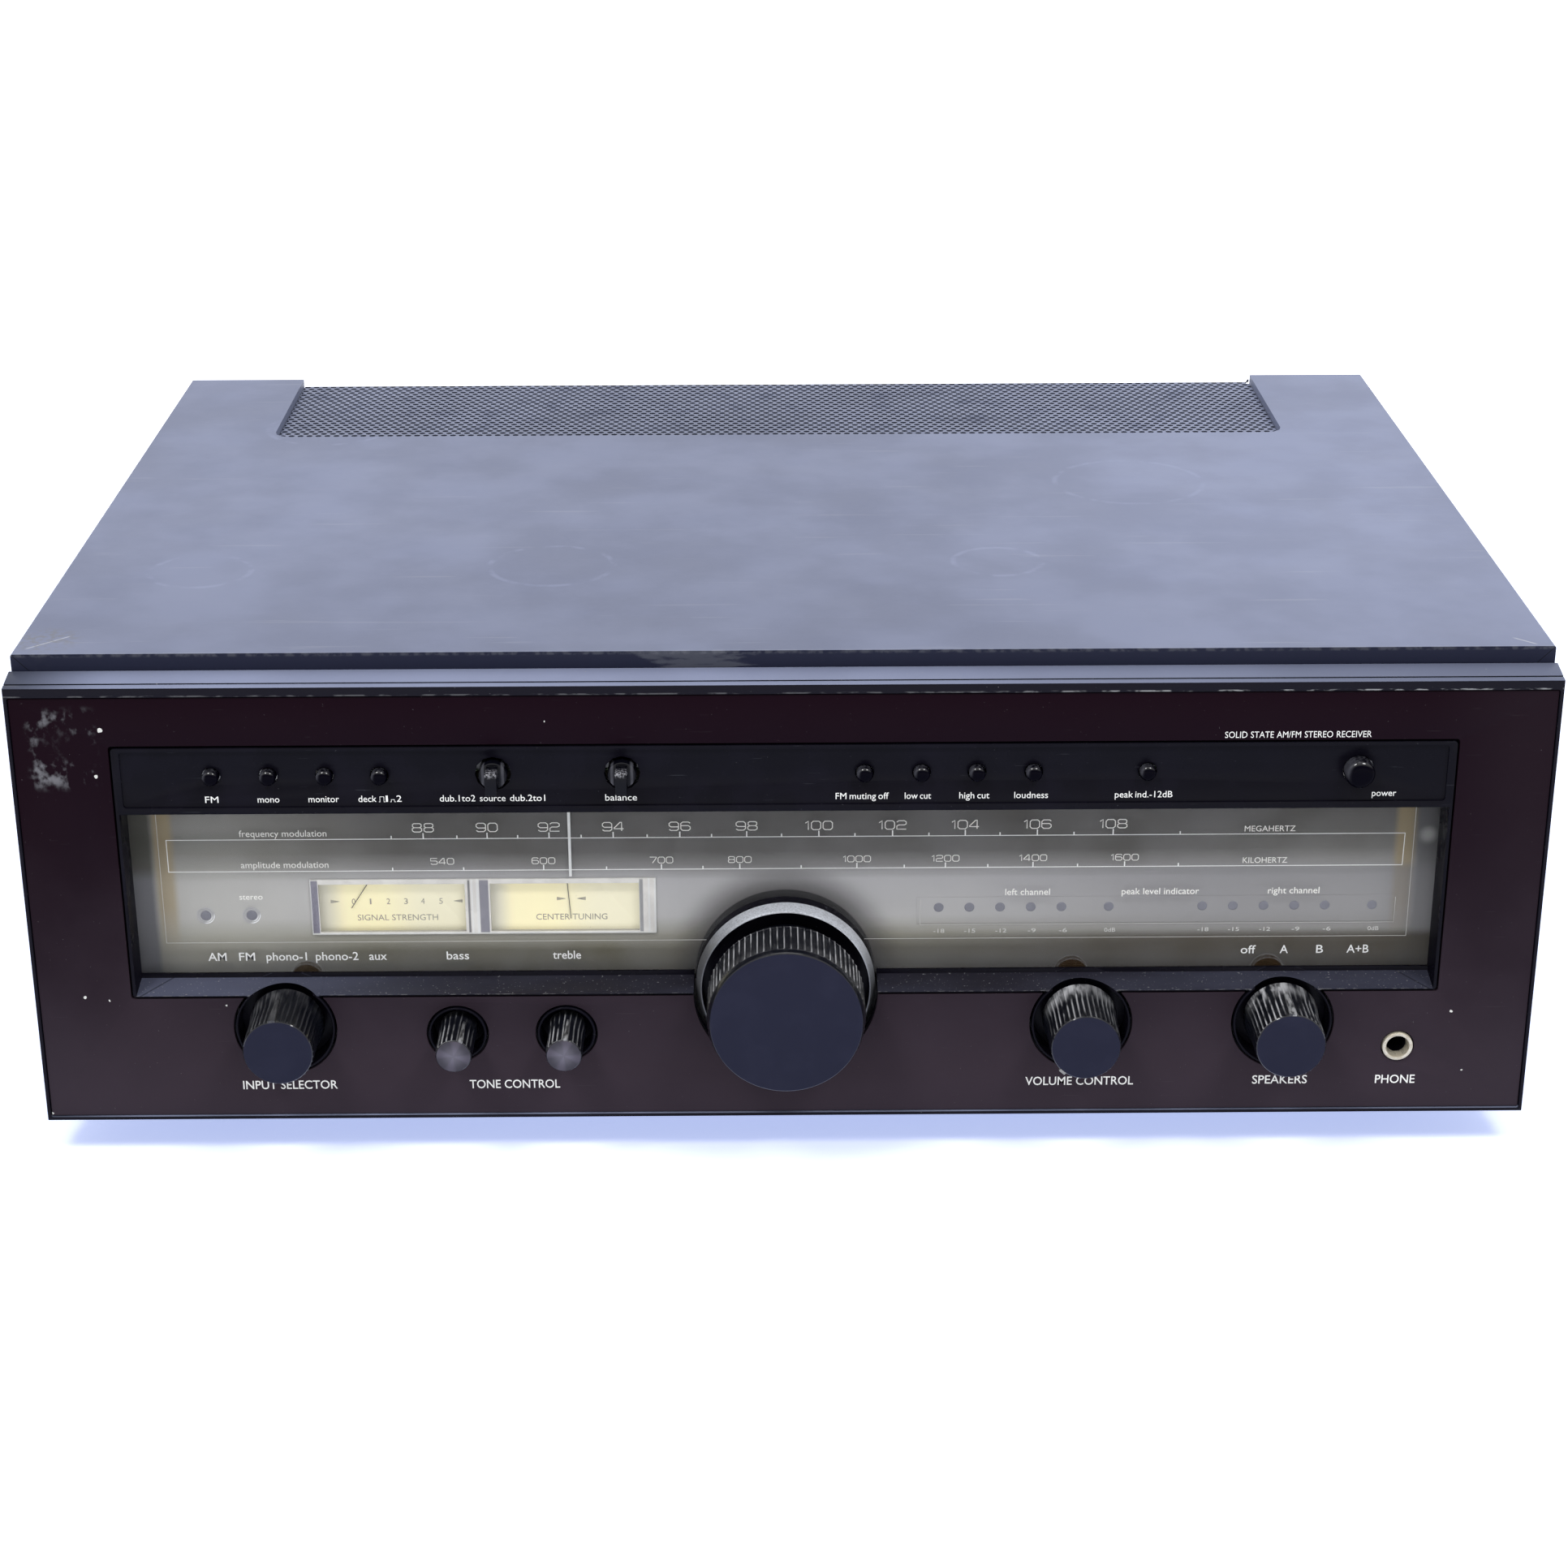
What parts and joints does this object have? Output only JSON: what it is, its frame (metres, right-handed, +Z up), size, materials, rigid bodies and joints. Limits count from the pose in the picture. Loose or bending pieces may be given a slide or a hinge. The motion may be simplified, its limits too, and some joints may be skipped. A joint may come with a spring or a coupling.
{
  "type": "stereo receiver",
  "caption": "Low, wide stereo receiver with a long lit dial, meters, rows of small lights and buttons, a large fluted tuning knob and smaller knobs in round wells.",
  "frame": {"origin": "on the floor, under the middle of the receiver's bounding box", "axes": "+Z up, the front with its dial looks along -Y, +X to the right as seen from the front"},
  "size_m": [0.485, 0.366, 0.172],
  "materials": {
    "slate_paint": "worn slate blue-grey enamel, satin",
    "navy_lacquer": "near-black navy lacquer",
    "capacitor_sleeve": "shrunk blue sleeve",
    "dark_plate": "dark brown-black satin",
    "black_plastic": "black moulding",
    "clear_sheet": "clear acrylic sheet",
    "dial_print": "printed dial plate",
    "meter_case": "cream meter face",
    "needle_paint": "painted needle",
    "white_plastic": "white moulding",
    "worn_aluminium": "worn satin aluminium",
    "steel": "turned steel",
    "plated_sheet": "plated sheet steel",
    "cord_fibre": "braided dial cord",
    "board_green": "circuit board",
    "foot_rubber": "black rubber"
  },
  "bodies": {
    "case": {"antenna_terminals": "black_plastic", "cabinet": "slate_paint", "chassis_base": "plated_sheet", "control_bank": "board_green", "dial_cord": "cord_fibre", "dial_scale": "dial_print", "dial_window": "clear_sheet", "front_frame": "navy_lacquer", "front_left_foot": "foot_rubber", "front_plate": "dark_plate", "front_right_foot": "foot_rubber", "gang_frame": "plated_sheet", "heat_sink": "worn_aluminium", "led_bar": "black_plastic", "left_filter_capacitor": "capacitor_sleeve", "main_board": "board_green", "mains_inlet": "black_plastic", "phone_jack": "black_plastic", "phono_sockets": "black_plastic", "pointer_rail": "steel", "power_transformer": "steel", "rear_left_foot": "foot_rubber", "rear_panel": "plated_sheet", "rear_right_foot": "foot_rubber", "right_filter_capacitor": "capacitor_sleeve", "signal_meter": "meter_case", "speaker_terminals": "black_plastic", "sub_front": "plated_sheet", "switch_bank": "plated_sheet", "tuning_collar": "worn_aluminium", "tuning_meter": "meter_case", "vent_grille": "dark_plate", "window_bezel": "black_plastic"},
    "tuning": {"tuning_knob": "black_plastic", "tuning_flywheel": "steel"},
    "pointer": {"dial_pointer": "white_plastic"},
    "drum": {"dial_drum": "white_plastic"},
    "rotor": {"gang_rotor": "plated_sheet"},
    "left_pulley": {"left_pulley": "black_plastic"},
    "right_pulley": {"right_pulley": "black_plastic"},
    "input_knob": {"input_knob": "black_plastic"},
    "bass_knob": {"bass_knob": "black_plastic"},
    "treble_knob": {"treble_knob": "black_plastic"},
    "volume_knob": {"volume_knob": "black_plastic"},
    "speakers_knob": {"speakers_knob": "black_plastic"},
    "dubbing_knob": {"dubbing_knob": "black_plastic"},
    "balance_knob": {"balance_knob": "black_plastic"},
    "signal_needle": {"signal_needle": "needle_paint"},
    "tuning_needle": {"tuning_needle": "needle_paint"},
    "am_antenna": {"am_antenna": "black_plastic"},
    "muting_button": {"muting_button": "black_plastic"},
    "mono_button": {"mono_button": "black_plastic"},
    "monitor_one_button": {"monitor_one_button": "black_plastic"},
    "monitor_two_button": {"monitor_two_button": "black_plastic"},
    "fm_muting_button": {"fm_muting_button": "black_plastic"},
    "low_cut_button": {"low_cut_button": "black_plastic"},
    "high_cut_button": {"high_cut_button": "black_plastic"},
    "loudness_button": {"loudness_button": "black_plastic"},
    "peak_range_button": {"peak_range_button": "black_plastic"},
    "power_button": {"power_button": "black_plastic"}
  },
  "joints": [
    {"name": "tuning_turn", "type": "hinge", "parent": "case", "child": "tuning", "pos_m": [0, -0.1611, 0.0583], "axis": [0, 1, 0], "range_deg": [-648.5, 2244.8]},
    {"name": "pointer_travel", "type": "slide", "parent": "case", "child": "pointer", "axis": [1, 0, 0], "range_m": [-0.0567, 0.196]},
    {"name": "drum_turn", "type": "hinge", "parent": "case", "child": "drum", "pos_m": [0, -0.1611, 0.0914], "axis": [0, 1, 0], "range_deg": [-424, 122.8]},
    {"name": "rotor_turn", "type": "hinge", "parent": "case", "child": "rotor", "pos_m": [0.03257, -0.1611, 0.0914], "axis": [0, 1, 0], "range_deg": [-40.5, 139.9]},
    {"name": "left_pulley_turn", "type": "hinge", "parent": "case", "child": "left_pulley", "pos_m": [-0.15, -0.1611, 0.1242], "axis": [0, 1, 0], "range_deg": [-721, 2494.6]},
    {"name": "right_pulley_turn", "type": "hinge", "parent": "case", "child": "right_pulley", "pos_m": [0.15, -0.1611, 0.1242], "axis": [0, 1, 0], "range_deg": [-721, 2494.6]},
    {"name": "input_select", "type": "hinge", "parent": "case", "child": "input_knob", "pos_m": [-0.1625, -0.1611, 0.0463], "axis": [0, 1, 0], "range_deg": [-60, 60]},
    {"name": "bass_turn", "type": "hinge", "parent": "case", "child": "bass_knob", "pos_m": [-0.1067, -0.1611, 0.0439], "axis": [0, 1, 0], "range_deg": [-175, 125]},
    {"name": "treble_turn", "type": "hinge", "parent": "case", "child": "treble_knob", "pos_m": [-0.0713, -0.1611, 0.0439], "axis": [0, 1, 0], "range_deg": [-157, 143]},
    {"name": "volume_turn", "type": "hinge", "parent": "case", "child": "volume_knob", "pos_m": [0.096, -0.1611, 0.0463], "axis": [0, 1, 0], "range_deg": [0, 280]},
    {"name": "speakers_select", "type": "hinge", "parent": "case", "child": "speakers_knob", "pos_m": [0.1617, -0.1611, 0.0463], "axis": [0, 1, 0], "range_deg": [-30, 60]},
    {"name": "dubbing_select", "type": "hinge", "parent": "case", "child": "dubbing_knob", "pos_m": [-0.0917, -0.1611, 0.1349], "axis": [0, 1, 0], "range_deg": [-45, 45]},
    {"name": "balance_turn", "type": "hinge", "parent": "case", "child": "balance_knob", "pos_m": [-0.0512, -0.1611, 0.1349], "axis": [0, 1, 0], "range_deg": [-140, 140]},
    {"name": "signal_needle_swing", "type": "hinge", "parent": "case", "child": "signal_needle", "pos_m": [-0.1276, -0.1434, 0.1022], "axis": [0, -1, 0], "range_deg": [0, 64], "stiffness_Nm_per_rad": 0.0002},
    {"name": "tuning_needle_swing", "type": "hinge", "parent": "case", "child": "tuning_needle", "pos_m": [-0.07155, -0.1434, 0.1022], "axis": [0, -1, 0], "range_deg": [-28, 28], "stiffness_Nm_per_rad": 0.0002},
    {"name": "antenna_swing", "type": "hinge", "parent": "case", "child": "am_antenna", "pos_m": [0.06, 0.1754, 0.1412], "axis": [0, 0, -1], "range_deg": [0, 90]},
    {"name": "muting_button_press", "type": "slide", "parent": "case", "child": "muting_button", "axis": [0, 1, 0], "range_m": [0, 0.003], "stiffness_N_per_m": 300},
    {"name": "mono_button_press", "type": "slide", "parent": "case", "child": "mono_button", "axis": [0, 1, 0], "range_m": [0, 0.003], "stiffness_N_per_m": 300},
    {"name": "monitor_one_button_press", "type": "slide", "parent": "case", "child": "monitor_one_button", "axis": [0, 1, 0], "range_m": [0, 0.003], "stiffness_N_per_m": 300},
    {"name": "monitor_two_button_press", "type": "slide", "parent": "case", "child": "monitor_two_button", "axis": [0, 1, 0], "range_m": [0, 0.003], "stiffness_N_per_m": 300},
    {"name": "fm_muting_button_press", "type": "slide", "parent": "case", "child": "fm_muting_button", "axis": [0, 1, 0], "range_m": [0, 0.003], "stiffness_N_per_m": 300},
    {"name": "low_cut_button_press", "type": "slide", "parent": "case", "child": "low_cut_button", "axis": [0, 1, 0], "range_m": [0, 0.003], "stiffness_N_per_m": 300},
    {"name": "high_cut_button_press", "type": "slide", "parent": "case", "child": "high_cut_button", "axis": [0, 1, 0], "range_m": [0, 0.003], "stiffness_N_per_m": 300},
    {"name": "loudness_button_press", "type": "slide", "parent": "case", "child": "loudness_button", "axis": [0, 1, 0], "range_m": [0, 0.003], "stiffness_N_per_m": 300},
    {"name": "peak_range_button_press", "type": "slide", "parent": "case", "child": "peak_range_button", "axis": [0, 1, 0], "range_m": [0, 0.003], "stiffness_N_per_m": 300},
    {"name": "power_button_press", "type": "slide", "parent": "case", "child": "power_button", "axis": [0, 1, 0], "range_m": [0, 0.003], "stiffness_N_per_m": 300}
  ],
  "couplings": [
    {"joint": "pointer_travel", "follows": "tuning_turn", "m_per_rad": 0.005},
    {"joint": "drum_turn", "follows": "tuning_turn", "ratio": -0.18868},
    {"joint": "rotor_turn", "follows": "tuning_turn", "ratio": 0.062205},
    {"joint": "left_pulley_turn", "follows": "tuning_turn", "ratio": 1.1111},
    {"joint": "right_pulley_turn", "follows": "tuning_turn", "ratio": 1.1111}
  ]
}
